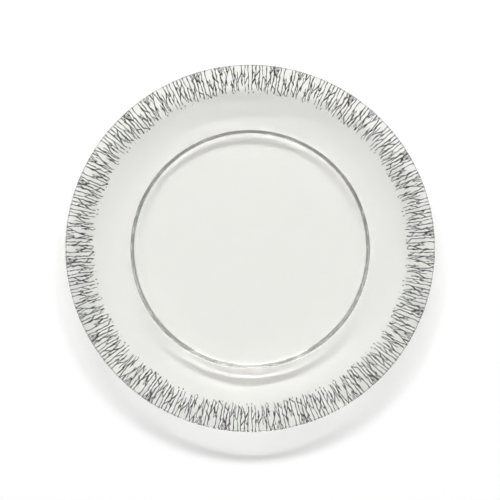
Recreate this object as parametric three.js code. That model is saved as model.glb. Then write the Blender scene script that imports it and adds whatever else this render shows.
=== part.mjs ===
// A round clear glass charger plate, built as it is made: one pressed glass blank with a sunken well,
// a flat foot and a wide sloping flange, and silver veins laid on the outer flange as equal panels
// that repeat round it. Millimetres, +Z up, origin at the centre of the plane that the foot rests on.
import * as THREE from "three";

// The glass blank
const PLATE_DIAMETER = 330;
const RIM_HEIGHT = 20; // upper corner of the rim, before its edge is rounded
const GLASS_THICKNESS = 4; // floor, wall and flange
const WELL_DIAMETER = 211.6; // where the wall of the well would meet the flange without its rounding
const WELL_DEPTH = 7;
const WALL_LEAN_DEGREES = 22; // from upright, so that the blank leaves its mould
const FOOT_WIDTH = 7.5; // the flat ring that the plate stands on
const HOLLOW_HEIGHT = 0.6; // of the underside within the foot
const HOLLOW_SLOPE_WIDTH = 8; // from the foot to the level middle of the hollow
const BAND_WIDTH = 24.5; // the decorated band of the flange, in from the edge of the plate
const BAND_RISE = 0.3; // the band stands this much above the plain flange, with a small step

// Roundings of the glass
const EDGE_FILLET = 1.8;
const EDGE_FILLET_LIMIT = 0.49; // of the glass's thickness, so that the edge keeps both its roundings
const WELL_LIP_FILLET = 7;
const WELL_FLOOR_FILLET = 5;
const UNDER_FLANGE_FILLET = 1.2;
const BASE_FILLET = 9;
const FILLET_ROOM = 0.99; // the share of a straight stretch that the fillets at its ends may take

// The silver veins
const PANEL_COUNT = 14;
const VEINS_PER_PANEL = 22;
const VEIN_WIDTH = 1.1;
const VEIN_HEIGHT = 0.3;
const BAND_MARGIN = 0.5; // from the step of the band to where the longest veins begin
const SILVER_CLEARANCE = 0.05;

// The drawing of the veins: lengths along them are shares of the band, and lengths across them are
// shares of their spacing
const VEIN_DRAWING = 14; // another number gives another drawing
const VEIN_WIDTH_SPREAD = 0.6;
const VEIN_RAGGEDNESS = 0.13; // how far the beginnings of the veins differ
const VEIN_SWAY = 0.36;
const TIE_START = { inner: 0.2, outer: 0.62 };
const TIE_SPREAD = 0.2;
const BRIDGE_TILT = 0.24;
const MEETING_SHARE = 0.2; // of the ties, with the bridges next and the forks last
const BRIDGE_SHARE = 0.5;
const BEND_SPAN = 0.3; // longer arms have a bend

// How finely round shapes are cut into flat faces
const ROUND_STEPS = 84;
const ARC_STEP_DEGREES = 24;

const plateRadius = PLATE_DIAMETER / 2;
const wellRadius = WELL_DIAMETER / 2;
const floorTop = HOLLOW_HEIGHT + GLASS_THICKNESS;
const flangeRoot = floorTop + WELL_DEPTH;
const flangeSlope = (RIM_HEIGHT - BAND_RISE - flangeRoot) / (plateRadius - wellRadius);
const wallSlope = Math.tan(THREE.MathUtils.degToRad(WALL_LEAN_DEGREES));
const flangeTop = (radius) => flangeRoot + (radius - wellRadius) * flangeSlope;
const bandTop = (radius) => flangeTop(radius) + BAND_RISE;
const edgeFillet = Math.min(EDGE_FILLET, EDGE_FILLET_LIMIT * GLASS_THICKNESS);

const bandStep = plateRadius - BAND_WIDTH;
const veinInner = bandStep + BAND_MARGIN;
const veinOuter = plateRadius - edgeFillet * Math.tan(Math.PI / 4 + Math.atan(flangeSlope) / 2);
const veinMiddle = (veinInner + veinOuter) / 2;
const veinSpacing = (2 * Math.PI * veinMiddle) / (PANEL_COUNT * VEINS_PER_PANEL);

// The points of a profile through corners of [radius, height, fillet], with an arc at each fillet. Where a
// stretch is too short for the fillets at its ends, both are made smaller.
function roundedProfile(corners) {
  const places = corners.map(([radius, height]) => new THREE.Vector2(radius, height));
  const bends = corners.map(([, , fillet], i) => {
    if (!fillet) {
      return { reach: 0 };
    }
    const back = places[i - 1].clone().sub(places[i]).normalize();
    const ahead = places[i + 1].clone().sub(places[i]).normalize();
    const turn = Math.PI - Math.acos(back.dot(ahead));
    return { back, ahead, turn, reach: fillet * Math.tan(turn / 2) };
  });
  const room = (i, j) => (FILLET_ROOM * places[i].distanceTo(places[j])) / (bends[i].reach + bends[j].reach);
  const points = [];
  bends.forEach(({ back, ahead, turn, reach }, i) => {
    if (!reach) {
      points.push(places[i]);
      return;
    }
    const fitted = reach * Math.min(1, room(i, i - 1), room(i, i + 1));
    const toCentre = back.clone().add(ahead).normalize();
    const centre = places[i].clone().addScaledVector(toCentre, fitted / Math.sin(turn / 2));
    const start = places[i].clone().addScaledVector(back, fitted);
    const sweep = -Math.sign(back.cross(ahead)) * turn;
    const steps = Math.ceil(turn / THREE.MathUtils.degToRad(ARC_STEP_DEGREES));
    for (let k = 0; k <= steps; k += 1) {
      points.push(start.clone().rotateAround(centre, (sweep * k) / steps));
    }
  });
  return points;
}

// The glass blank: its half section, from the centre out along the underside and back over the top,
// turned about the axis of the plate.
function glassBlank() {
  const flangeUnder = (radius) => flangeTop(radius) - GLASS_THICKNESS * Math.hypot(1, flangeSlope);
  const wallReach = wellRadius + GLASS_THICKNESS * Math.hypot(1, wallSlope);
  const wallOuter = (height) => wallReach - (flangeRoot - height) * wallSlope;
  const baseCorner = wallOuter(0);
  const baseTurn = Math.PI / 2 - Math.atan(wallSlope);
  const footInner = baseCorner - BASE_FILLET * Math.tan(baseTurn / 2) - FOOT_WIDTH;
  // where the outside of the wall meets the underside of the flange
  const underCorner =
    wallReach - ((flangeRoot - flangeUnder(wallReach)) * wallSlope) / (1 - wallSlope * flangeSlope);
  const profile = roundedProfile([
    [0, HOLLOW_HEIGHT, 0],
    [footInner - HOLLOW_SLOPE_WIDTH, HOLLOW_HEIGHT, 0],
    [footInner, 0, 0],
    [baseCorner, 0, BASE_FILLET],
    [underCorner, flangeUnder(underCorner), UNDER_FLANGE_FILLET],
    [plateRadius, flangeUnder(plateRadius), edgeFillet],
    [plateRadius, RIM_HEIGHT, edgeFillet],
    [bandStep, bandTop(bandStep), 0],
    [bandStep - BAND_RISE, flangeTop(bandStep - BAND_RISE), 0],
    [wellRadius, flangeRoot, WELL_LIP_FILLET],
    [wellRadius - WELL_DEPTH * wallSlope, floorTop, WELL_FLOOR_FILLET],
    [0, floorTop, 0],
  ]);
  return new THREE.LatheGeometry(profile, ROUND_STEPS).rotateX(Math.PI / 2);
}

// A fixed scatter from 0 to 1, so that every vein has its own shape and each build is the same.
function scatter(index, salt) {
  const wave = Math.sin(index * 12.9898 + (salt + VEIN_DRAWING) * 78.233) * 43758.5453;
  return wave - Math.floor(wave);
}

// What ties a vein to the next: they meet at one stop, a bridge joins them, or the next one forks off.
function tieKind(vein) {
  const draw = scatter(vein, 2);
  if (draw < MEETING_SHARE) {
    return "meeting";
  }
  return draw < MEETING_SHARE + BRIDGE_SHARE ? "bridge" : "fork";
}

// The stops of one panel's veins and the arms that join them. A stop lies in the unrolled band: x runs
// clockwise round the panel and y out from the axis.
function veinGraph() {
  const stops = [];
  const arms = [];
  const routes = Array.from({ length: VEINS_PER_PANEL }, () => []);
  const forked = { inner: new Set(), outer: new Set() };
  const addStop = (share, round) => {
    const x = (round - VEINS_PER_PANEL / 2) * veinSpacing;
    return stops.push(new THREE.Vector2(x, veinInner + share * (veinOuter - veinInner))) - 1;
  };
  const sway = (vein, salt) => vein + 0.5 + VEIN_SWAY * (scatter(vein, salt) - 0.5);

  // Each vein is tied to the next one once. Ties alternate between the inner and the outer half of the
  // band, so that no vein is drawn to both of its neighbours at one place.
  for (let vein = 0; vein + 1 < VEINS_PER_PANEL; vein += 1) {
    const half = vein % 2 === 0 ? "inner" : "outer";
    const share = TIE_START[half] + TIE_SPREAD * scatter(vein, 1);
    const kind = tieKind(vein);
    const here = addStop(share, sway(kind === "meeting" ? vein + 0.5 : vein, 3));
    let there = here;
    if (kind === "bridge") {
      there = addStop(share + BRIDGE_TILT * (scatter(vein, 4) - 0.5), sway(vein + 1, 3));
      arms.push([here, there]);
    } else if (kind === "fork") {
      forked[half].add(vein + 1);
    }
    routes[vein].push(here);
    routes[vein + 1].push(there);
  }

  // A vein has a loose end where it doesn't fork off its neighbour, and its long arms have a bend.
  routes.forEach((route, vein) => {
    if (!forked.inner.has(vein)) {
      route.push(addStop(VEIN_RAGGEDNESS * scatter(vein, 5), sway(vein, 6)));
    }
    if (!forked.outer.has(vein)) {
      route.push(addStop(1, sway(vein, 7)));
    }
    route.sort((a, b) => stops[a].y - stops[b].y);
    for (let i = 0; i + 1 < route.length; i += 1) {
      const [from, to] = [route[i], route[i + 1]];
      if (stops[to].y - stops[from].y < BEND_SPAN * (veinOuter - veinInner)) {
        arms.push([from, to]);
        continue;
      }
      const middle = stops[from].clone().lerp(stops[to], 0.5);
      middle.x += VEIN_SWAY * veinSpacing * (scatter(from, to) - 0.5);
      const bend = stops.push(middle) - 1;
      arms.push([from, bend], [bend, to]);
    }
  });
  return { stops, arms };
}

// A point of the unrolled band in its place on the plate, lifted above the seat of the silver.
function bandPoint(x, y, lift) {
  const facetRise = plateRadius * (1 - Math.cos(Math.PI / ROUND_STEPS)) * Math.abs(flangeSlope);
  const angle = -x / veinMiddle;
  const height = bandTop(y) + facetRise + SILVER_CLEARANCE + lift;
  return new THREE.Vector3(y * Math.cos(angle), y * Math.sin(angle), height);
}

// The ridge round each stop: its crest, its neighbours anticlockwise, and its feet, which are mitred
// between one neighbour and the next and square at a loose end. Crest and feet are places in points.
function ridgeJoints(stops, arms, points) {
  const addPoint = (x, y, lift) => points.push(bandPoint(x, y, lift)) - 1;
  return stops.map((stop, here) => {
    const halfWidth = (VEIN_WIDTH / 2) * (1 + VEIN_WIDTH_SPREAD * (scatter(here, 8) - 0.5));
    const bearing = (other) => stops[other].clone().sub(stop).angle();
    const addFoot = (direction, reach) =>
      addPoint(stop.x + reach * Math.cos(direction), stop.y + reach * Math.sin(direction), 0);
    const crest = addPoint(stop.x, stop.y, VEIN_HEIGHT);
    const others = arms
      .filter((arm) => arm.includes(here))
      .map(([a, b]) => (a === here ? b : a))
      .sort((a, b) => bearing(a) - bearing(b));
    if (others.length === 1) {
      const ahead = bearing(others[0]);
      const feet = [addFoot(ahead + Math.PI / 2, halfWidth), addFoot(ahead - Math.PI / 2, halfWidth)];
      return { crest, others, feet };
    }
    const feet = others.map((other, k) => {
      const next = others[(k + 1) % others.length];
      const gap = THREE.MathUtils.euclideanModulo(bearing(next) - bearing(other), 2 * Math.PI);
      return addFoot(bearing(other) + gap / 2, halfWidth / Math.sin(gap / 2));
    });
    return { crest, others, feet };
  });
}

// The faces of a ridge: two slopes and an underside along each arm, and the ends and crossings.
function ridgeFaces(joints, arms) {
  const faces = [];
  const feetBeside = (here, there) => {
    const { others, feet } = joints[here];
    const k = others.indexOf(there);
    return [feet[k], feet.at(k - 1)];
  };
  arms.forEach(([from, to]) => {
    const [fromLeft, fromRight] = feetBeside(from, to);
    const [toRight, toLeft] = feetBeside(to, from);
    const start = joints[from].crest;
    const end = joints[to].crest;
    faces.push(start, end, toLeft, start, toLeft, fromLeft);
    faces.push(start, toRight, end, start, fromRight, toRight);
    faces.push(fromLeft, toLeft, toRight, fromLeft, toRight, fromRight);
  });
  joints.forEach(({ crest, others, feet }) => {
    if (others.length === 1) {
      faces.push(crest, ...feet);
    }
    for (let k = 1; k + 1 < others.length; k += 1) {
      faces.push(feet[0], feet[k + 1], feet[k]);
    }
  });
  return faces;
}

// One panel of silver: a ridge of triangular section along every arm of its veins.
function silverNetwork() {
  const { stops, arms } = veinGraph();
  const points = [];
  const joints = ridgeJoints(stops, arms, points);
  const geometry = new THREE.BufferGeometry().setFromPoints(points);
  geometry.setIndex(ridgeFaces(joints, arms));
  geometry.computeVertexNormals();
  return geometry;
}

function clearGlass() {
  return new THREE.MeshStandardMaterial({
    color: 0xe9ece6,
    roughness: 0.04,
    metalness: 0,
    transparent: true,
    opacity: 0.35,
  });
}

function firedSilver() {
  return new THREE.MeshStandardMaterial({ color: 0x9a9a98, roughness: 0.3, metalness: 1 });
}

const plate = new THREE.Group();

const glass = new THREE.Mesh(glassBlank(), clearGlass());
glass.name = "glass_plate";
plate.add(glass);

const network = silverNetwork();
for (let panel = 0; panel < PANEL_COUNT; panel += 1) {
  const silver = new THREE.Mesh(network, firedSilver());
  silver.name = `silver_panel_${String(panel + 1).padStart(2, "0")}`;
  silver.rotation.z = (panel * 2 * Math.PI) / PANEL_COUNT;
  plate.add(silver);
}

export default plate;
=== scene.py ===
# %% [markdown]
# A clear glass charger plate with silver veins
#
# A charger is the large plate that stays on the table under the dinner plate. This one is a single
# pressed disc of clear glass, with a flat sunken well and a wide flange that slopes up to the rim.
# The outer flange carries a band of silver: wavy veins that run outwards, fork, meet and cross.
# The lesson loads the measured frame, draws the glass as a turned profile, draws the silver as the
# inside of one smooth field, and then finishes both and lights them as for a catalogue.

# %% Load the frame
import math

import bpy
import numpy as np
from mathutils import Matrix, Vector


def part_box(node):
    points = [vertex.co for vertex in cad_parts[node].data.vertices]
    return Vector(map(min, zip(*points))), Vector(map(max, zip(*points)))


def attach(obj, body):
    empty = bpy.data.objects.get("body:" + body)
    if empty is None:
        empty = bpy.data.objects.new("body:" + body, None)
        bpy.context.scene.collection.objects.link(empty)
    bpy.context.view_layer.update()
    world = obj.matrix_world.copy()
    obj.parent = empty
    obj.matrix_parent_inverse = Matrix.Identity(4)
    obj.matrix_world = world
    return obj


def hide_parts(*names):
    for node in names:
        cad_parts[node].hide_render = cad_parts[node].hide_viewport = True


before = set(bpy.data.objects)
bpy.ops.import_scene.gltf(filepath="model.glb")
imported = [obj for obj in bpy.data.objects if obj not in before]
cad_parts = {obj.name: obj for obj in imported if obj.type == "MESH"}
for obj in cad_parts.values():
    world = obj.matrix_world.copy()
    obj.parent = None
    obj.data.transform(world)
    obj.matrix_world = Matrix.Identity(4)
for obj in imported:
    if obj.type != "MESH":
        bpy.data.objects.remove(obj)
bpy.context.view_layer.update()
MM = 0.001  # the sizes below are in millimetres, and meshes are in metres
print("nodes in the frame:", len(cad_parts))

# %% [markdown]
# The sizes of the blank
#
# The overall sizes are read from the frame, so that the finished glass fits the measured one. The
# frame only gives boxes, so the sizes inside the box, such as the depth of the well, are named here.

# %% Sizes of the glass blank
glass_high = np.array(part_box("glass_plate")[1]) / MM
silver_nodes = sorted(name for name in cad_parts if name.startswith("silver_panel"))
PLATE_RADIUS = float(glass_high[0])
RIM_CORNER = 20.0  # height of the rim's upper corner, before it is rounded
GLASS_THICKNESS = 4.0
WELL_RADIUS = 105.0  # where the wall of the well would meet the flange without its rounding
WELL_DEPTH = 7.0
WALL_LEAN = math.radians(22)
PUSH_UP = 0.6  # the middle of the underside is hollow by this much, so that the plate stands on a ring
PUSH_UP_RADIUS = 84.0
FOOT_INNER_RADIUS = 92.0
BAND_WIDTH = 25.8
BAND_RISE = 0.3
PUSH_UP_FILLET = 30.0
BASE_FILLET = 5.0  # from the foot up into the back of the wall
UNDER_FILLET = 1.2  # from the back of the wall to the underside of the flange
EDGE_FILLET = 1.8
STEP_FILLET = 0.2  # both corners of the small step where the band begins
LIP_FILLET = 7.0  # from the flange down into the well
FLOOR_FILLET = 5.0  # from the wall of the well to its floor

floor_top = PUSH_UP + GLASS_THICKNESS
flange_root = floor_top + WELL_DEPTH
flange_slope = (RIM_CORNER - BAND_RISE - flange_root) / (PLATE_RADIUS - WELL_RADIUS)
wall_slope = math.tan(WALL_LEAN)
band_step = PLATE_RADIUS - BAND_WIDTH
print(f"plate {2 * PLATE_RADIUS:.1f} mm across, {glass_high[2]:.2f} mm high; flange slope {flange_slope:.3f}")

# %% [markdown]
# The half section
#
# A turned shape needs only its half section. Corners with a fillet each become an arc, so the section
# is a short list of corners, and long straight stretches get extra points. Pressed glass has no sharp
# corner anywhere: fire polishing melts every edge a little, so even the small step has its rounding.
# The roundings of the wall matter most for the look, because they bend the light into the bright lines,
# the grey ring and the soft shadow that show where the well begins.

# %% The half section of the glass
def rounded_section(corners, arc_step=math.radians(7), longest=2.0):
    """A section through corners of (radius, height, fillet): each fillet is an arc about the centre that
    lies fillet / cos(turn / 2) along the bisector, and stretches over the longest are divided evenly."""
    places = np.array([corner[:2] for corner in corners])
    points = [places[:1]]
    for (_, _, fillet), before, corner, after in zip(corners[1:-1], places, places[1:], places[2:]):
        back = (before - corner) / np.linalg.norm(before - corner)
        ahead = (after - corner) / np.linalg.norm(after - corner)
        turn = math.pi - math.acos(np.dot(back, ahead))
        bisector = (back + ahead) / np.linalg.norm(back + ahead)
        centre = corner + bisector * fillet / math.cos(turn / 2)
        start = corner + back * fillet * math.tan(turn / 2) - centre
        side = -np.sign(back[0] * ahead[1] - back[1] * ahead[0])
        sweep = side * np.linspace(0, turn, 1 + math.ceil(turn / arc_step))
        arc = np.stack([start[0] * np.cos(sweep) - start[1] * np.sin(sweep),
                        start[0] * np.sin(sweep) + start[1] * np.cos(sweep)], axis=1)
        points.append(centre + arc)
    points.append(places[-1:])
    section = np.concatenate(points)
    lengths = np.linalg.norm(np.diff(section, axis=0), axis=1)
    cuts = np.maximum(1, np.ceil(lengths / longest)).astype(int)
    share = np.concatenate([np.arange(n) / n for n in cuts] + [[1.0]])
    index = np.append(np.repeat(np.arange(len(cuts)), cuts), len(cuts) - 1)
    return section[index] + share[:, None] * (section[index + 1] - section[index])


def flange_height(radius):
    """The plain top of the flange: a straight slope outwards from the lip of the well."""
    return flange_root + (radius - WELL_RADIUS) * flange_slope


def glass_section():
    """From the centre out along the underside, round the edge, and back over the top to the centre."""
    under = GLASS_THICKNESS * math.hypot(1, flange_slope)
    wall_reach = WELL_RADIUS + GLASS_THICKNESS * math.hypot(1, wall_slope)
    base_corner = wall_reach - flange_root * wall_slope
    drop = flange_root - flange_height(wall_reach) + under
    under_corner = wall_reach - drop * wall_slope / (1 - wall_slope * flange_slope)
    return rounded_section([
        (0, PUSH_UP, 0),
        (PUSH_UP_RADIUS, PUSH_UP, PUSH_UP_FILLET),
        (FOOT_INNER_RADIUS, 0, PUSH_UP_FILLET),
        (base_corner, 0, BASE_FILLET),
        (under_corner, flange_height(under_corner) - under, UNDER_FILLET),
        (PLATE_RADIUS, flange_height(PLATE_RADIUS) - under, EDGE_FILLET),
        (PLATE_RADIUS, RIM_CORNER, EDGE_FILLET),
        (band_step, flange_height(band_step) + BAND_RISE, STEP_FILLET),
        (band_step - BAND_RISE, flange_height(band_step - BAND_RISE), STEP_FILLET),
        (WELL_RADIUS, flange_root, LIP_FILLET),
        (WELL_RADIUS - WELL_DEPTH * wall_slope, floor_top, FLOOR_FILLET),
        (0, floor_top, 0),
    ])


section = glass_section()
outermost = int(np.argmax(section[:, 0]))
print(f"half section of {len(section)} points, highest {section[:, 1].max():.2f} mm")

# %% [markdown]
# From arrays to a mesh
#
# Every piece below is worked out as whole arrays of points and faces. One helper hands them over with
# foreach_set, which is much faster than adding points one by one.

# %% A mesh from arrays
def piece_from_arrays(name, points, faces):
    """A smooth piece at the origin from points in millimetres and a list of index arrays, one row a face."""
    corners = np.concatenate([rows.ravel() for rows in faces]).astype(np.int32)
    sizes = np.concatenate([np.full(len(rows), rows.shape[1]) for rows in faces])
    starts = np.concatenate([[0], np.cumsum(sizes)[:-1]]).astype(np.int32)
    mesh = bpy.data.meshes.new(name)
    mesh.vertices.add(len(points))
    mesh.vertices.foreach_set("co", (points * MM).astype(np.float32).ravel())
    mesh.loops.add(len(corners))
    mesh.loops.foreach_set("vertex_index", corners)
    mesh.polygons.add(len(sizes))
    mesh.polygons.foreach_set("loop_start", starts)
    mesh.update(calc_edges=True)
    mesh.validate()
    mesh.shade_smooth()
    piece = bpy.data.objects.new(name, mesh)
    bpy.context.scene.collection.objects.link(piece)
    return piece


# %% [markdown]
# The glass
#
# The plate could be a Screw modifier on a drawn outline, but a grid of angle and place along the
# section lets the top of the flange ripple slightly, as pressed glass does where it sinks onto its mould.
# The ripples are too low to see as shapes. They act as weak lenses, and cast soft waves of light and
# shade on the table under the flange.

# %% The glass plate
GLASS_TURNS = 396
RIPPLE = 0.08  # in millimetres
RIPPLE_PITCH = 20.0
RIPPLE_START = 8.0  # from the lip of the well to the first ripple
RIPPLE_FADE = 6.0  # the ripples grow and die away over this width
DRIFT = 1.6  # how far the phase of the rings wanders, in radians
DRIFT_LENGTHS = (34.0, 27.0, 19.0)  # of its waves across, along and slanting, in millimetres a radian


def flange_ripple(x, y):
    """A ripple in rings whose phase wanders slowly over the plate, fading out at the well and the edge."""
    radius = np.hypot(x, y)
    across, along, slanting = DRIFT_LENGTHS
    drift = DRIFT * (np.sin(x / across + 0.4) + np.sin(y / along - 1.1)) + np.sin((x - y) / slanting)
    grow = np.clip((radius - WELL_RADIUS - RIPPLE_START) / RIPPLE_FADE, 0, 1)
    fade = np.clip((PLATE_RADIUS - radius) / RIPPLE_FADE, 0, 1)
    return RIPPLE * grow * fade * np.sin(2 * math.pi * radius / RIPPLE_PITCH + drift)


def revolve(name, outline, turns, top_start):
    """Carry a half section round the axis: x = r cos a, y = r sin a, z = h, with one point at each pole.
    Rows from top_start on get the ripple."""
    angle = np.arange(turns) * 2 * math.pi / turns
    ring = outline[1:-1]
    x = ring[:, :1] * np.cos(angle)
    y = ring[:, :1] * np.sin(angle)
    on_top = np.arange(1, len(outline) - 1)[:, None] >= top_start
    z = ring[:, 1:] + on_top * flange_ripple(x, y)
    rows = len(ring)
    grid = np.arange(rows * turns).reshape(rows, turns)
    beside = np.roll(grid, -1, axis=1)
    quads = np.stack([grid[:-1], beside[:-1], beside[1:], grid[1:]], axis=-1).reshape(-1, 4)
    low_pole = np.full(turns, rows * turns)
    fans = np.concatenate([np.stack([low_pole, beside[0], grid[0]], axis=-1),
                           np.stack([low_pole + 1, grid[-1], beside[-1]], axis=-1)])
    poles = np.array([[0, 0, outline[0, 1]], [0, 0, outline[-1, 1]]])
    points = np.concatenate([np.stack([x, y, z], axis=-1).reshape(-1, 3), poles])
    return piece_from_arrays(name, points, [quads, fans])


glass = revolve("glass_plate_polished", section, GLASS_TURNS, outermost)
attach(glass, "root")
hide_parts("glass_plate")
print(f"glass: {len(glass.data.polygons)} faces")

# %% [markdown]
# The band that the silver lies on
#
# The silver is drawn flat and then rolled up. On the flat drawing, x runs round one panel and y along
# the glass, out from the small step where the band begins, over the slope and onto the rounded edge.
# Measuring y along the surface lets the veins run over the edge, as they do on the real rim.

# %% The unrolled band
EDGE_BARE = 0.8  # the silver ends this far short of the outermost line of the edge
BAND_MARGIN = 0.5  # from the step to where the longest veins begin
VEINS = 22  # in one panel
panels = len(silver_nodes)

top_line = section[outermost:][::-1]
run = np.concatenate([[0], np.cumsum(np.linalg.norm(np.diff(top_line, axis=0), axis=1))])
run -= np.interp(band_step, top_line[:, 0], run)
steps = np.gradient(top_line, axis=0)
tangents = steps / np.linalg.norm(steps, axis=1)[:, None]
normals = np.stack([-tangents[:, 1], tangents[:, 0]], axis=1)

edge_reach = EDGE_FILLET * math.tan(math.pi / 4 + math.atan(flange_slope) / 2)
band_length = BAND_WIDTH - edge_reach - BAND_MARGIN
band_middle = band_step + BAND_MARGIN + band_length / 2
vein_spacing = 2 * math.pi * band_middle / (panels * VEINS)
edge_share = (run[-1] - EDGE_BARE - BAND_MARGIN) / band_length
print(f"{panels} panels of {VEINS} veins, {vein_spacing:.2f} mm apart and {band_length:.1f} mm long")

# %% [markdown]
# The drawing of the veins
#
# Each vein has stops along it, and is tied once to the next vein: they meet, a bridge joins them, or
# one forks off the other. A fixed scatter gives every vein its own shape, so that each run draws the same.

# %% The stops and arms of one panel
VEIN_DRAWING = 14  # another number draws another panel
VEIN_SWAY = 0.36  # sideways, in vein spacings
VEIN_RAGGEDNESS = 0.13  # of the inner ends; this and the next four are shares of the band's length
TIE_START = (0.2, 0.62)  # of even veins and of odd ones
TIE_SPREAD = 0.2
BRIDGE_TILT = (0.12, 0.34)
BEND_SPAN = 0.3  # a longer stretch gets a bend in its middle
MEETING_SHARE = 0.2  # of all ties
BRIDGE_SHARE = 0.5  # of all ties, and the rest are forks


def scatter(index, salt):
    """A fixed spread from 0 to 1: the fraction of a large multiple of a sine."""
    wave = np.sin(np.asarray(index, float) * 12.9898 + (salt + VEIN_DRAWING) * 78.233) * 43758.5453
    return wave - np.floor(wave)


def vein_drawing():
    """The stops as (share of the band's length, place in vein spacings), and the arms as pairs of stops."""
    stops, arms = [], []
    routes = [[] for _ in range(VEINS)]
    forked = (set(), set())

    def add_stop(share, place):
        stops.append((share, place))
        return len(stops) - 1

    def sway(vein, salt):
        return vein + 0.5 + VEIN_SWAY * (scatter(vein, salt) - 0.5)

    for vein in range(VEINS - 1):
        half = vein % 2
        share = TIE_START[half] + TIE_SPREAD * scatter(vein, 1)
        draw = scatter(vein, 2)
        meeting = draw < MEETING_SHARE
        here = there = add_stop(share, sway(vein + 0.5 if meeting else vein, 3))
        if not meeting and draw < MEETING_SHARE + BRIDGE_SHARE:
            tilt = BRIDGE_TILT[0] + (BRIDGE_TILT[1] - BRIDGE_TILT[0]) * scatter(vein, 4)
            there = add_stop(share + tilt * (1 if scatter(vein, 9) < 0.5 else -1), sway(vein + 1, 3))
            arms.append((here, there))
        elif not meeting:
            forked[half].add(vein + 1)
        routes[vein].append(here)
        routes[vein + 1].append(there)

    for vein, route in enumerate(routes):
        if vein not in forked[0]:
            route.append(add_stop(VEIN_RAGGEDNESS * scatter(vein, 5), sway(vein, 6)))
        if vein not in forked[1]:
            route.append(add_stop(edge_share, sway(vein, 7)))
        route.sort(key=lambda stop: stops[stop][0])
        for start, end in zip(route, route[1:]):
            (share0, place0), (share1, place1) = stops[start], stops[end]
            if share1 - share0 < BEND_SPAN:
                arms.append((start, end))
                continue
            bend = VEIN_SWAY * (scatter(start, end) - 0.5)
            arms += [(start, len(stops)), (len(stops), end)]
            stops.append(((share0 + share1) / 2, (place0 + place1) / 2 + bend))
    return np.array(stops), np.array(arms)


stops, arms = vein_drawing()
print(f"one panel: {len(stops)} stops, {len(arms)} arms")

# %% [markdown]
# From arms to strokes
#
# All marks of the silver become strokes: a start, an end, and a half width at each. The arms of the
# drawing are the first of them. Arms that share a stop are equally wide there, so that they join smoothly.

# %% The strokes of the veins
VEIN_HALF_WIDTH = 0.38
WIDTH_SPREAD = 0.7
SIDE_CLEAR = 0.45  # marks stay this far inside the panel's sides, in vein spacings


def strokes(start_share, start_place, end_share, end_place, start_half, end_half):
    """Rows of x, y, x, y and two half widths in millimetres, with every place kept inside the panel."""
    start_x, end_x = ((np.clip(place, SIDE_CLEAR, VEINS - SIDE_CLEAR) - VEINS / 2) * vein_spacing
                      for place in (start_place, end_place))
    start_y, end_y = (BAND_MARGIN + share * band_length for share in (start_share, end_share))
    return np.stack(np.broadcast_arrays(start_x, start_y, end_x, end_y, start_half, end_half), axis=-1)


def main_veins():
    """The arms of the drawing, each as wide at a stop as the others that end there."""
    half = VEIN_HALF_WIDTH * (1 + WIDTH_SPREAD * (scatter(np.arange(len(stops)), 8) - 0.5))
    start, end = arms.T
    return strokes(stops[start, 0], stops[start, 1], stops[end, 0], stops[end, 1], half[start], half[end])


vein_strokes = main_veins()
print(f"one panel: {len(vein_strokes)} strokes for its veins")

# %% [markdown]
# Twigs, threads, fans, streaks, beads and the edge line
#
# Between its main veins the real band is full of small marks: thin twigs that lean across to the next
# vein, long threads, steep or slanting, dark fans where veins run together at the edge, swollen streaks,
# and loose beads along the ragged inner border. A thin line follows the edge. Each kind is a few arrays
# from the same fixed scatter, and they all become strokes as well.

# %% The small marks of one panel
# Starts and lengths are shares of the band's length, leans are in vein spacings, halves in millimetres.
TWIGS = dict(count=13, salt=31, starts=(0.04, 0.8), lengths=(0.14, 0.34),
             leans=(0.15, 0.75), halves=(0.2, 0.34))
STEEP_THREADS = dict(count=8, salt=34, starts=(0.03, 0.4), lengths=(0.4, 0.8),
                     leans=(0.02, 0.3), halves=(0.22, 0.36))
SLANTING_THREADS = dict(count=4, salt=32, starts=(0.02, 0.25), lengths=(0.5, 0.9),
                        leans=(0.7, 1.7), halves=(0.24, 0.36))
BEADS = dict(count=10, salt=33, starts=(-0.05, 0.06), lengths=(0.01, 0.05),
             leans=(0.02, 0.3), halves=(0.24, 0.4))


def spread(count, salt, low, high):
    """Fixed values between low and high, one for each of count marks."""
    return low + (high - low) * scatter(np.arange(count), salt)


def leaning_marks(count, salt, starts, lengths, leans, halves, taper=0.7):
    """Thin strokes that lean to one side or the other, spread evenly round the panel."""
    start = spread(count, salt, *starts)
    place = (np.arange(count) + scatter(np.arange(count), salt + 0.2)) * VEINS / count
    side = np.where(scatter(np.arange(count), salt + 0.4) < 0.5, -1, 1)
    lean = side * spread(count, salt + 0.5, *leans)
    half = spread(count, salt + 0.7, *halves)
    end = np.minimum(start + spread(count, salt + 0.6, *lengths), edge_share)
    return strokes(start, place, end, place + lean, half, taper * half)


def edge_fans(count=2, blades=5, gaps=(0.55, 0.12), ends=(0.66, 0.78), halves=(0.34, 0.2)):
    """Blades that start side by side on the edge and close up inwards, like the ribs of a fan."""
    fan, blade = (part.ravel() for part in np.meshgrid(np.arange(count), np.arange(blades) - blades // 2))
    place = (fan + 0.25 + 0.5 * scatter(fan, 41)) * VEINS / count
    end = ends[0] + (ends[1] - ends[0]) * scatter(fan * blades + blade, 42)
    return strokes(edge_share, place + gaps[0] * blade, end, place + gaps[1] * blade, *halves)


def swollen_streaks(count=4, lengths=(0.13, 0.17), thin=0.2, bow=0.05):
    """Two strokes end to end, thin at both ends and swollen where they meet."""
    start = spread(count, 51, 0.1, 0.62)
    place = np.floor(spread(count, 52, 0.5, VEINS - 1)) + spread(count, 53, 0.4, 0.6)
    middle = start + lengths[0]
    end = middle + lengths[1]
    swollen = spread(count, 54, 0.5, 0.75)
    return np.concatenate([strokes(start, place, middle, place + bow, thin, swollen),
                           strokes(middle, place + bow, end, place - bow, swollen, thin)])


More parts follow.
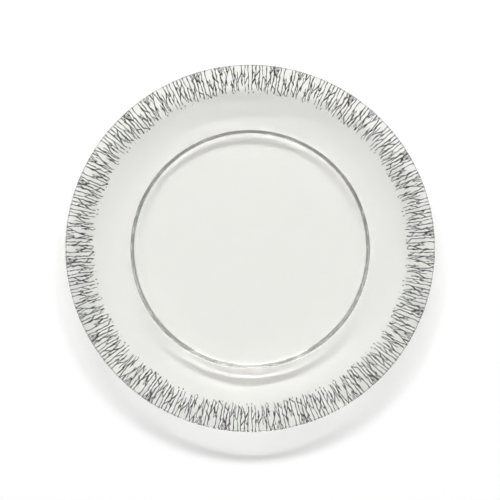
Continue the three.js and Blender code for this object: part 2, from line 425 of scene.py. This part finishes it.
def edge_line(half=0.2, back=2.6, gap=0.5):
    """One thin stroke a little back from the edge, along the whole panel, with a gap before the next."""
    reach = VEINS * vein_spacing / 2 - gap
    height = run[-1] - back
    return np.array([[-reach, height, reach, height, half, half]])


panel_strokes = np.concatenate([
    vein_strokes,
    edge_line(),
    leaning_marks(**TWIGS),
    leaning_marks(**STEEP_THREADS),
    leaning_marks(**SLANTING_THREADS),
    leaning_marks(**BEADS),
    edge_fans(),
    swollen_streaks(),
])
print(f"one panel: {len(panel_strokes)} strokes with the small marks")

# %% [markdown]
# The silver as a field
#
# Melted silver has no mitred joints: veins run into each other in soft webs, and are thick in one place
# and thin in the next. So the network is drawn as a field: the distance to the nearest stroke, less that
# stroke's half width, with neighbours blended by a soft minimum. The silver lies where the field is below
# zero. Waves bend the plane before the distance is taken, so that straight strokes wander as if by hand.

# %% The field of the veins
SOFTNESS = 0.07  # of the webs where veins meet; all sizes of the field are in millimetres
WANDER = 0.24
WANDER_SCALE = 6.0
UNEVEN = 0.12  # how much thicker or thinner a vein becomes
UNEVEN_SCALE = 2.6
NOISE_PEAK = 2.6  # what four waves add up to at their highest, nearly everywhere


def slow_noise(x, y, seed, scale):
    """Four waves in scattered directions, added up: about -1 to 1, with hills about one scale apart."""
    waves = np.arange(4)
    turn = 2 * math.pi * scatter(waves, seed)
    pitch = (0.7 + 0.8 * scatter(waves, seed + 0.37)) * 2 * math.pi / scale
    phase = 2 * math.pi * scatter(waves, seed + 0.71)
    along = x[..., None] * np.cos(turn) + y[..., None] * np.sin(turn)
    return np.sin(along * pitch + phase).sum(-1) / NOISE_PEAK


def silver_field(x, y):
    """Soft minimum over the strokes of (distance to the stroke - its half width there), in millimetres."""
    starts, ends = panel_strokes[:, 0:2], panel_strokes[:, 2:4]
    start_half, end_half = panel_strokes[:, 4], panel_strokes[:, 5]
    places = np.stack([x + WANDER * slow_noise(x, y, 21, WANDER_SCALE),
                       y + WANDER * slow_noise(x, y, 22, WANDER_SCALE)], axis=-1)[..., None, :]
    spans = ends - starts
    along = np.clip(((places - starts) * spans).sum(-1) / (spans * spans).sum(-1), 0, 1)
    away = np.linalg.norm(places - starts - along[..., None] * spans, axis=-1)
    gaps = away - (start_half + along * (end_half - start_half))
    nearest = gaps.min(-1)
    blend = np.exp(-(gaps - nearest[..., None]) / SOFTNESS).sum(-1)
    return nearest - SOFTNESS * np.log(blend) + UNEVEN * slow_noise(x, y, 23, UNEVEN_SCALE)


sample_field = silver_field(np.linspace(-vein_spacing, vein_spacing, 5), np.full(5, band_length / 2))
print("field across two veins, in millimetres:", np.round(sample_field, 2))

# %% [markdown]
# From the field to a grid
#
# A fine grid covers the unrolled panel. Cells whose middle is silver stay. The points on their border
# slide along the field's slope until they lie on the line where it is zero, so the outline is smooth, and
# the points inside follow them a little.

# %% The silver cells and their outline
GRID_PITCH = 0.2
GRID_ROOM = 0.4  # of the grid beyond the panel's sides, in vein spacings
GRID_START = -2.0  # the grid begins inside the small step, so that the innermost beads fit on it


def cells_of_silver(x, y, passes=4):
    """Which cells are silver at their middle. Two that touch only at a corner are joined by a third."""
    middle = GRID_PITCH / 2
    cells = silver_field(x[:-1, :-1] + middle, y[:-1, :-1] + middle) < 0
    for _ in range(passes):
        a, b, c, d = cells[:-1, :-1], cells[1:, :-1], cells[:-1, 1:], cells[1:, 1:]
        rising = a & d & ~b & ~c
        falling = b & c & ~a & ~d
        cells[1:, :-1] |= rising
        cells[:-1, :-1] |= falling
    cells[[0, -1], :] = False
    cells[:, 0] = False
    return cells


def slide_to_outline(x, y, passes=4, least_slope=0.2):
    """Each pass moves a point by -value * slope / slope squared, and all passes by one grid pitch at most.
    Points that are far from the outline stay."""
    start_x, start_y = x.copy(), y.copy()
    probe = GRID_PITCH / 8
    near = np.abs(silver_field(x, y)) < 1.5 * GRID_PITCH
    for _ in range(passes):
        value = silver_field(x, y) * near
        slope_x = (silver_field(x + probe, y) - silver_field(x - probe, y)) / (2 * probe)
        slope_y = (silver_field(x, y + probe) - silver_field(x, y - probe)) / (2 * probe)
        scale = value / np.maximum(slope_x ** 2 + slope_y ** 2, least_slope)
        x = start_x + np.clip(x - scale * slope_x - start_x, -GRID_PITCH, GRID_PITCH)
        y = start_y + np.clip(y - scale * slope_y - start_y, -GRID_PITCH, GRID_PITCH)
    return x, y


def evened(plane, inner, passes=3):
    """Inner points go halfway to the mean of their four neighbours in each pass."""
    for _ in range(passes):
        around = np.zeros_like(plane)
        around[1:-1, 1:-1] = (plane[2:, 1:-1] + plane[:-2, 1:-1] + plane[1:-1, 2:] + plane[1:-1, :-2]) / 4
        plane[inner] = (plane[inner] + around[inner]) / 2
    return plane


def corner_counts(cells):
    """How many silver cells meet at each point of the grid: four inside the silver, fewer on its border."""
    padded = np.pad(cells.astype(int), 1)
    return padded[:-1, :-1] + padded[1:, :-1] + padded[:-1, 1:] + padded[1:, 1:]


panel_reach = (VEINS / 2 + GRID_ROOM) * vein_spacing
grid_x, grid_y = np.meshgrid(np.arange(-panel_reach, panel_reach, GRID_PITCH),
                             np.arange(GRID_START, run[-1] - EDGE_BARE, GRID_PITCH), indexing="ij")
silver_cells = cells_of_silver(grid_x, grid_y)
meeting_cells = corner_counts(silver_cells)
used = meeting_cells > 0
inner = meeting_cells == 4
border = used & ~inner
grid_x[border], grid_y[border] = slide_to_outline(grid_x[border], grid_y[border])
grid_x, grid_y = evened(grid_x, inner), evened(grid_y, inner)
covered = silver_cells.sum() * GRID_PITCH ** 2 / (VEINS * vein_spacing * band_length)
print(f"{silver_cells.sum()} cells: silver covers {covered:.2f} of the band")

# %% [markdown]
# The closed shell
#
# The top is a low dome over the depth inside the silver, and the underside follows the glass. A very low
# wall along the border joins the two, which closes the shell also where a thread is only one cell wide.

# %% The shell of one panel
SILVER_HEIGHT = 0.03
SILVER_EDGE = 0.008  # height of the wall along the border
DOME_WIDTH = 0.36  # the dome is at its full height this far inside the border


def closed_faces(cells, top, under):
    """A quad above and below every silver cell, and a wall on each side where the next cell is bare."""
    corners = [(0, 0), (1, 0), (1, 1), (0, 1)]
    beyond = [(0, -1), (1, 0), (0, 1), (-1, 0)]
    rows, columns = cells.shape

    def quads(where, *places):
        picked = [index[a:a + rows, b:b + columns][where] for index, (a, b) in places]
        return np.stack(picked, axis=-1)

    faces = [quads(cells, *((top, corner) for corner in corners)),
             quads(cells, *((under, corner) for corner in corners[::-1]))]
    padded = np.pad(cells, 1)
    for start, end, (a, b) in zip(corners, corners[1:] + corners[:1], beyond):
        open_side = cells & ~padded[1 + a:1 + a + rows, 1 + b:1 + b + columns]
        faces.append(quads(open_side, (top, end), (top, start), (under, start), (under, end)))
    return np.concatenate(faces)


def panel_shell():
    """Points as (x, y, lift) on the unrolled band, and the faces of the closed shell. With the depth d as
    a share of the dome's width, the lift rises from the edge's to the full height as 1 - (1 - d) squared."""
    depth = np.zeros_like(grid_x)
    depth[inner] = np.clip(-silver_field(grid_x[inner], grid_y[inner]) / DOME_WIDTH, 0, 1)
    lift = SILVER_EDGE + (SILVER_HEIGHT - SILVER_EDGE) * (1 - (1 - depth) ** 2)
    top = np.full(used.shape, -1)
    top[used] = np.arange(used.sum())
    under = top + used.sum()
    x, y = grid_x[used], grid_y[used]
    points = np.concatenate([np.stack([x, y, lift[used]], axis=-1),
                             np.stack([x, y, np.zeros_like(x)], axis=-1)])
    return points, closed_faces(silver_cells, top, under)


shell_points, shell_faces = panel_shell()
print(f"one panel's shell: {len(shell_points)} points, {len(shell_faces)} faces")

# %% [markdown]
# The panels round the rim
#
# The drawing repeats round the rim, so one shell serves for every panel: its x becomes an angle, its y
# a distance along the glass, and its height goes along the normal of the glass there.

# %% The silver panels
SILVER_SEAT = 0.03  # the film stands off the glass by this much, so that no glass comes through it
CREASE = math.radians(60)  # steeper folds are drawn as edges


def lay_on_rim(points, turn):
    """Roll the band up: the angle is turn - x / middle radius, and y runs along the section of the glass."""
    along, lift = points[:, 1], SILVER_SEAT + points[:, 2]
    radius = np.interp(along, run, top_line[:, 0]) + lift * np.interp(along, run, normals[:, 0])
    height = np.interp(along, run, top_line[:, 1]) + lift * np.interp(along, run, normals[:, 1])
    angle = turn - points[:, 0] / band_middle
    x, y = radius * np.cos(angle), radius * np.sin(angle)
    return np.stack([x, y, height + flange_ripple(x, y)], axis=-1)


silver = []
for number, node in enumerate(silver_nodes):
    placed = lay_on_rim(shell_points, 2 * math.pi * number / panels)
    piece = piece_from_arrays(f"silver_veins_{number + 1:02d}", placed, [shell_faces])
    piece.data.set_sharp_from_angle(angle=CREASE)
    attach(piece, "root")
    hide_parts(node)
    silver.append(piece)
print(f"silver: {len(silver)} panels, {sum(len(p.data.polygons) for p in silver)} faces")

# %% [markdown]
# Marks of making and handling
#
# Neither finish is perfect: wiping leaves broad, faint clouds on both, and firing a fine grain on the
# silver. Both marks come from noise on Object coordinates. Two materials need them, so they are one node
# group with two scales as inputs, and each material decides what the clouds and the grain change.

# %% A node group for clouds and grain
CLOUD_SCALE = 20.0  # marks in a metre, where a material gives no scale of its own
GRAIN_SCALE = 900.0
CLOUD_EDGE = (0.42, 0.66)  # noise under the first is clear, and over the second it is full cloud


def noise(nodes, links, vector, scale, detail=2.0):
    """A noise texture on a vector socket; scale is a number, or a socket that holds one."""
    texture = nodes.new("ShaderNodeTexNoise")
    texture.inputs["Detail"].default_value = detail
    links.new(vector, texture.inputs["Vector"])
    if isinstance(scale, bpy.types.NodeSocket):
        links.new(scale, texture.inputs["Scale"])
    else:
        texture.inputs["Scale"].default_value = scale
    return texture.outputs["Fac"]


def surface_marks():
    """The group: Clouds are a soft-edged mask of broad noise, and Grain is fine noise, both from 0 to 1."""
    group = bpy.data.node_groups.new("surface_marks", "ShaderNodeTree")
    for name, default in (("Cloud Scale", CLOUD_SCALE), ("Grain Scale", GRAIN_SCALE)):
        socket = group.interface.new_socket(name, in_out="INPUT", socket_type="NodeSocketFloat")
        socket.default_value = default
    for name in ("Clouds", "Grain"):
        group.interface.new_socket(name, in_out="OUTPUT", socket_type="NodeSocketFloat")
    nodes, links = group.nodes, group.links
    given, result = nodes.new("NodeGroupInput"), nodes.new("NodeGroupOutput")
    place = nodes.new("ShaderNodeTexCoord").outputs["Object"]
    clouds = nodes.new("ShaderNodeMapRange")
    clouds.interpolation_type = "SMOOTHSTEP"
    clouds.inputs["From Min"].default_value, clouds.inputs["From Max"].default_value = CLOUD_EDGE
    links.new(noise(nodes, links, place, given.outputs["Cloud Scale"], 3.0), clouds.inputs["Value"])
    links.new(clouds.outputs["Result"], result.inputs["Clouds"])
    links.new(noise(nodes, links, place, given.outputs["Grain Scale"]), result.inputs["Grain"])
    return group


marks_group = surface_marks()
print("group sockets:", [item.name for item in marks_group.interface.items_tree])

# %% [markdown]
# Helpers for the finishes
#
# Each finish starts from a Principled shader and places the group with its own scales. A range helper
# turns a mask from 0 to 1 into the values that a socket needs.

# %% Helpers for the materials
def new_material(name):
    """A node material, with its nodes, its links and its Principled shader."""
    material = bpy.data.materials.new(name)
    material.use_nodes = True
    nodes = material.node_tree.nodes
    return material, nodes, material.node_tree.links, nodes["Principled BSDF"]


def place_marks(nodes, cloud_scale, grain_scale=GRAIN_SCALE):
    """The group in a material, with its own scales."""
    node = nodes.new("ShaderNodeGroup")
    node.node_tree = marks_group
    node.inputs["Cloud Scale"].default_value = cloud_scale
    node.inputs["Grain Scale"].default_value = grain_scale
    return node


def ranged(nodes, links, value, low, high, start=0.0, stop=1.0):
    """A value from start to stop becomes one from low to high."""
    node = nodes.new("ShaderNodeMapRange")
    node.inputs["From Min"].default_value = start
    node.inputs["From Max"].default_value = stop
    node.inputs["To Min"].default_value = low
    node.inputs["To Max"].default_value = high
    links.new(value, node.inputs["Value"])
    return node.outputs["Result"]


# %% [markdown]
# The finish of the glass
#
# Clear soda glass passes nearly all light and has a faint green-grey cast, which grows with the way that
# the light goes inside, so a thin absorbing volume gives it. The surface is fire polished: smooth, with a
# trace of wiping that only blurs reflections a little. On the band, the mould left a low relief between
# the veins. Its noise is laid on a circle, so that it has no seam and its hills are long and radial.

# %% Glass material
GLASS_COLOUR = (0.915, 0.913, 0.888, 1)
GLASS_IOR = 1.51
WIPING_SCALE = 14.0
WIPING_BLUR = 0.012  # the roughness where the wiping is strongest
GLASS_DEPTH_COLOUR = (0.86, 0.87, 0.84, 1)
GLASS_DENSITY = 6.0  # per metre
RELIEF_PITCH = 2.4  # across the hills, in millimetres
RELIEF_STRETCH = 0.3  # the pitch across the hills, as a share of the pitch along them
RELIEF_HEIGHT = 0.12


def vector_step(nodes, links, operation, *inputs):
    """One vector operation; an input is a socket or a plain vector."""
    node = nodes.new("ShaderNodeVectorMath")
    node.operation = operation
    for socket, value in zip(node.inputs, inputs):
        if isinstance(value, bpy.types.NodeSocket):
            links.new(value, socket)
        else:
            socket.default_value = value
    return node.outputs["Value" if operation == "LENGTH" else "Vector"]


def band_relief(nodes, links):
    """Noise at (direction from the axis times the band's radius, distance from it), on the band alone."""
    place = nodes.new("ShaderNodeTexCoord").outputs["Object"]
    flat = vector_step(nodes, links, "MULTIPLY", place, (1, 1, 0))
    distance = vector_step(nodes, links, "LENGTH", flat)
    round_band = vector_step(nodes, links, "MULTIPLY", vector_step(nodes, links, "NORMALIZE", flat),
                             (band_middle * MM,) * 3)
    outwards = nodes.new("ShaderNodeCombineXYZ")
    links.new(ranged(nodes, links, distance, 0, RELIEF_STRETCH), outwards.inputs["Z"])
    unrolled = vector_step(nodes, links, "ADD", round_band, outwards.outputs["Vector"])
    hills = noise(nodes, links, unrolled, 1 / (RELIEF_PITCH * MM), 1.0)
    on_band = ranged(nodes, links, distance, 0, 1, band_step * MM, (band_step + 1) * MM)
    height = nodes.new("ShaderNodeMath")
    height.operation = "MULTIPLY"
    links.new(hills, height.inputs[0])
    links.new(on_band, height.inputs[1])
    return height.outputs["Value"]


def clear_glass():
    """Smooth clear glass with a wiped surface, a moulded relief on the band and a cast from its depth."""
    material, nodes, links, shader = new_material("polished_clear_glass")
    shader.inputs["Base Color"].default_value = GLASS_COLOUR
    shader.inputs["IOR"].default_value = GLASS_IOR
    shader.inputs["Transmission Weight"].default_value = 1.0
    wiped = place_marks(nodes, WIPING_SCALE)
    links.new(ranged(nodes, links, wiped.outputs["Clouds"], 0.0, WIPING_BLUR), shader.inputs["Roughness"])
    bump = nodes.new("ShaderNodeBump")
    bump.inputs["Distance"].default_value = RELIEF_HEIGHT * MM
    links.new(band_relief(nodes, links), bump.inputs["Height"])
    links.new(bump.outputs["Normal"], shader.inputs["Normal"])
    depth = nodes.new("ShaderNodeVolumeAbsorption")
    depth.inputs["Color"].default_value = GLASS_DEPTH_COLOUR
    depth.inputs["Density"].default_value = GLASS_DENSITY
    links.new(depth.outputs["Volume"], nodes["Material Output"].inputs["Volume"])
    return material


glass.data.materials.append(clear_glass())
print("glass finish:", [slot.name for slot in glass.material_slots])

# %% [markdown]
# The finish of the silver
#
# The silver is painted on as a lustre and fired, so it is thin, satin and uneven: bright where it was
# rubbed, grey and a little warm where it has tarnished. The clouds of the group choose between the two
# colours, and the grain breaks up the gloss and roughens the surface like fine hammering.

# %% Silver material
CLEAN_SILVER = (0.62, 0.62, 0.605, 1)
DULL_SILVER = (0.27, 0.267, 0.257, 1)
TARNISH_SCALE = 160.0
HAMMER_SCALE = 1600.0
HAMMER_HEIGHT = 0.05  # in millimetres
HAMMER_STRENGTH = 0.2
SILVER_ROUGHNESS = (0.1, 0.24)


def fired_silver():
    """Metal whose colour follows the clouds. The grain sets its roughness and is a fine bump on it."""
    material, nodes, links, shader = new_material("fired_silver_lustre")
    shader.inputs["Metallic"].default_value = 1.0
    worn = place_marks(nodes, TARNISH_SCALE, HAMMER_SCALE)
    colour = nodes.new("ShaderNodeMix")
    colour.data_type = "RGBA"
    colour.inputs["A"].default_value = DULL_SILVER
    colour.inputs["B"].default_value = CLEAN_SILVER
    links.new(worn.outputs["Clouds"], colour.inputs["Factor"])
    links.new(colour.outputs["Result"], shader.inputs["Base Color"])
    links.new(ranged(nodes, links, worn.outputs["Grain"], *SILVER_ROUGHNESS), shader.inputs["Roughness"])
    bump = nodes.new("ShaderNodeBump")
    bump.inputs["Strength"].default_value = HAMMER_STRENGTH
    bump.inputs["Distance"].default_value = HAMMER_HEIGHT * MM
    links.new(worn.outputs["Grain"], bump.inputs["Height"])
    links.new(bump.outputs["Normal"], shader.inputs["Normal"])
    return material


silver_finish = fired_silver()
for piece in silver:
    piece.data.materials.append(silver_finish)
print("silver finish:", silver_finish.name)

# %% [markdown]
# The floor
#
# Clear glass shows what it stands on, so the floor is most of the picture: a wide matt sheet, nearly
# white. Rays that come straight from the camera, or by way of glass or metal, see a little extra white
# on it, so that the background is white at a plain level of light, and the plate's shadow stays.

# %% Floor
scene = bpy.context.scene
FLOOR_SIDE = 24.0  # in metres
FLOOR_GAP = 0.1  # under the foot, in millimetres
FLOOR_WHITE = (0.95, 0.95, 0.95, 1)
FLOOR_ROUGHNESS = 0.9
FLOOR_LIFT = 0.16


def studio_floor():
    """A flat square just under the foot, with its faint lift of white for the camera, glass and metal."""
    half = FLOOR_SIDE / 2
    low = -FLOOR_GAP * MM
    mesh = bpy.data.meshes.new("studio_floor")
    mesh.from_pydata([(-half, -half, low), (half, -half, low), (half, half, low), (-half, half, low)],
                     [], [(0, 1, 2, 3)])
    material, nodes, links, shader = new_material("studio_floor")
    shader.inputs["Base Color"].default_value = FLOOR_WHITE
    shader.inputs["Roughness"].default_value = FLOOR_ROUGHNESS
    shader.inputs["Specular IOR Level"].default_value = 0.0
    path = nodes.new("ShaderNodeLightPath")
    seen = path.outputs["Is Camera Ray"]
    for kind in ("Is Glossy Ray", "Is Transmission Ray"):
        either = nodes.new("ShaderNodeMath")
        either.operation = "MAXIMUM"
        links.new(seen, either.inputs[0])
        links.new(path.outputs[kind], either.inputs[1])
        seen = either.outputs["Value"]
    shader.inputs["Emission Color"].default_value = (1, 1, 1, 1)
    links.new(ranged(nodes, links, seen, 0.0, FLOOR_LIFT), shader.inputs["Emission Strength"])
    mesh.materials.append(material)
    sheet = bpy.data.objects.new("studio_floor", mesh)
    scene.collection.objects.link(sheet)
    return sheet


floor = studio_floor()
print(f"floor {FLOOR_SIDE:.0f} m wide")

# %% [markdown]
# The light
#
# One long soft lamp stands behind the plate, above the picture's top edge. It draws the bright lines on
# the near side of the well and throws the soft shadow of its wall. Its mirror image is kept out of the
# picture, as a filter on a lens can do for glass, because from low in front it would fill the far flange
# with glare. The rest of the light comes from the studio itself: pale walls all round, dim near the
# ground and dark overhead, where the silver looks, so that the veins draw dark on the pale ground.
#
# Light that is caught inside the glass needs many bounces to find its way out, and the filter that blurs
# it would dim everything under the plate, so it is switched off.

# %% Lamp and studio
LIGHT_BOUNCES = 64
KEY_ELEVATION = math.radians(38)
KEY_DISTANCE = 6.0  # in metres, as are the lamp's sides
KEY_WIDTH = 5.0
KEY_HEIGHT = 0.8
KEY_POWER = 285  # in watts
SKY_AXIS_TILT = (math.radians(-14), math.radians(-5), 0)
# Grey levels from the horizon (0) to the crown of the sky (1).
SKY_LEVELS = ((0.0, 0.37), (0.15, 0.4), (0.4, 0.74), (0.65, 0.64), (0.82, 0.33), (1.0, 0.2))

scene.view_settings.view_transform = "Standard"
scene.cycles.blur_glossy = 0.0
scene.cycles.sample_clamp_indirect = 0.0
scene.cycles.max_bounces = LIGHT_BOUNCES
scene.cycles.glossy_bounces = LIGHT_BOUNCES
scene.cycles.transmission_bounces = LIGHT_BOUNCES


def key_lamp():
    """A rectangle that faces the plate from behind, turned about X by a right angle less its elevation."""
    data = bpy.data.lights.new("key_lamp", "AREA")
    data.shape = "RECTANGLE"
    data.size = KEY_WIDTH
    data.size_y = KEY_HEIGHT
    data.energy = KEY_POWER
    lamp = bpy.data.objects.new("key_lamp", data)
    lamp.location = (0, KEY_DISTANCE * math.cos(KEY_ELEVATION), KEY_DISTANCE * math.sin(KEY_ELEVATION))
    lamp.rotation_euler = (KEY_ELEVATION - math.pi / 2, 0, 0)
    lamp.visible_glossy = False
    scene.collection.objects.link(lamp)


def studio_world():
    """Grey levels along the height of the sky, with the dark crown tilted a little towards the camera."""
    world = bpy.data.worlds.new("studio")
    world.use_nodes = True
    nodes, links = world.node_tree.nodes, world.node_tree.links
    turned = nodes.new("ShaderNodeMapping")
    turned.inputs["Rotation"].default_value = SKY_AXIS_TILT
    height = nodes.new("ShaderNodeSeparateXYZ")
    levels = nodes.new("ShaderNodeValToRGB")
    links.new(nodes.new("ShaderNodeTexCoord").outputs["Generated"], turned.inputs["Vector"])
    links.new(turned.outputs["Vector"], height.inputs["Vector"])
    links.new(height.outputs["Z"], levels.inputs["Fac"])
    links.new(levels.outputs["Color"], nodes["Background"].inputs["Color"])
    places = levels.color_ramp.elements
    while len(places) < len(SKY_LEVELS):
        places.new(0.5)
    for element, (place, level) in zip(places, SKY_LEVELS):
        element.position = place
        element.color = (level, level, level, 1)
    return world


key_lamp()
scene.world = studio_world()
print(f"lamp {KEY_WIDTH:.1f} x {KEY_HEIGHT:.1f} m at {math.degrees(KEY_ELEVATION):.0f} degrees")

# %% [markdown]
# The camera
#
# The picture is taken almost straight from above. Its frame is a square in which the plate fills about
# three quarters of the width, so the distance follows from the lens and that share. The near half of a
# tilted plate looks larger, so the camera aims a little in front of the centre to keep the plate there.

# %% Camera
CAMERA_ELEVATION = math.radians(83.5)
FRAME_PIXELS = 500
PLATE_PIXELS = 370.3  # the plate's width in that frame
AIM = np.array([-0.15, -2.6, 0.0]) * MM  # from the centre of the plate
LENS = 250  # in millimetres, as is the sensor
SENSOR_WIDTH = 36

camera_data = bpy.data.cameras.new("photo_camera")
camera_data.lens = LENS
camera_data.sensor_width = SENSOR_WIDTH
camera = bpy.data.objects.new("photo_camera", camera_data)
scene.collection.objects.link(camera)
scene.camera = camera
frame_side = 2 * PLATE_RADIUS * MM * FRAME_PIXELS / PLATE_PIXELS
distance = frame_side * LENS / SENSOR_WIDTH
towards = np.array([0, -math.cos(CAMERA_ELEVATION), math.sin(CAMERA_ELEVATION)])
camera.location = AIM + (0, 0, glass_high[2] * MM) + distance * towards
camera.rotation_euler = (math.pi / 2 - CAMERA_ELEVATION, 0, 0)
print(f"camera {distance:.2f} m away")
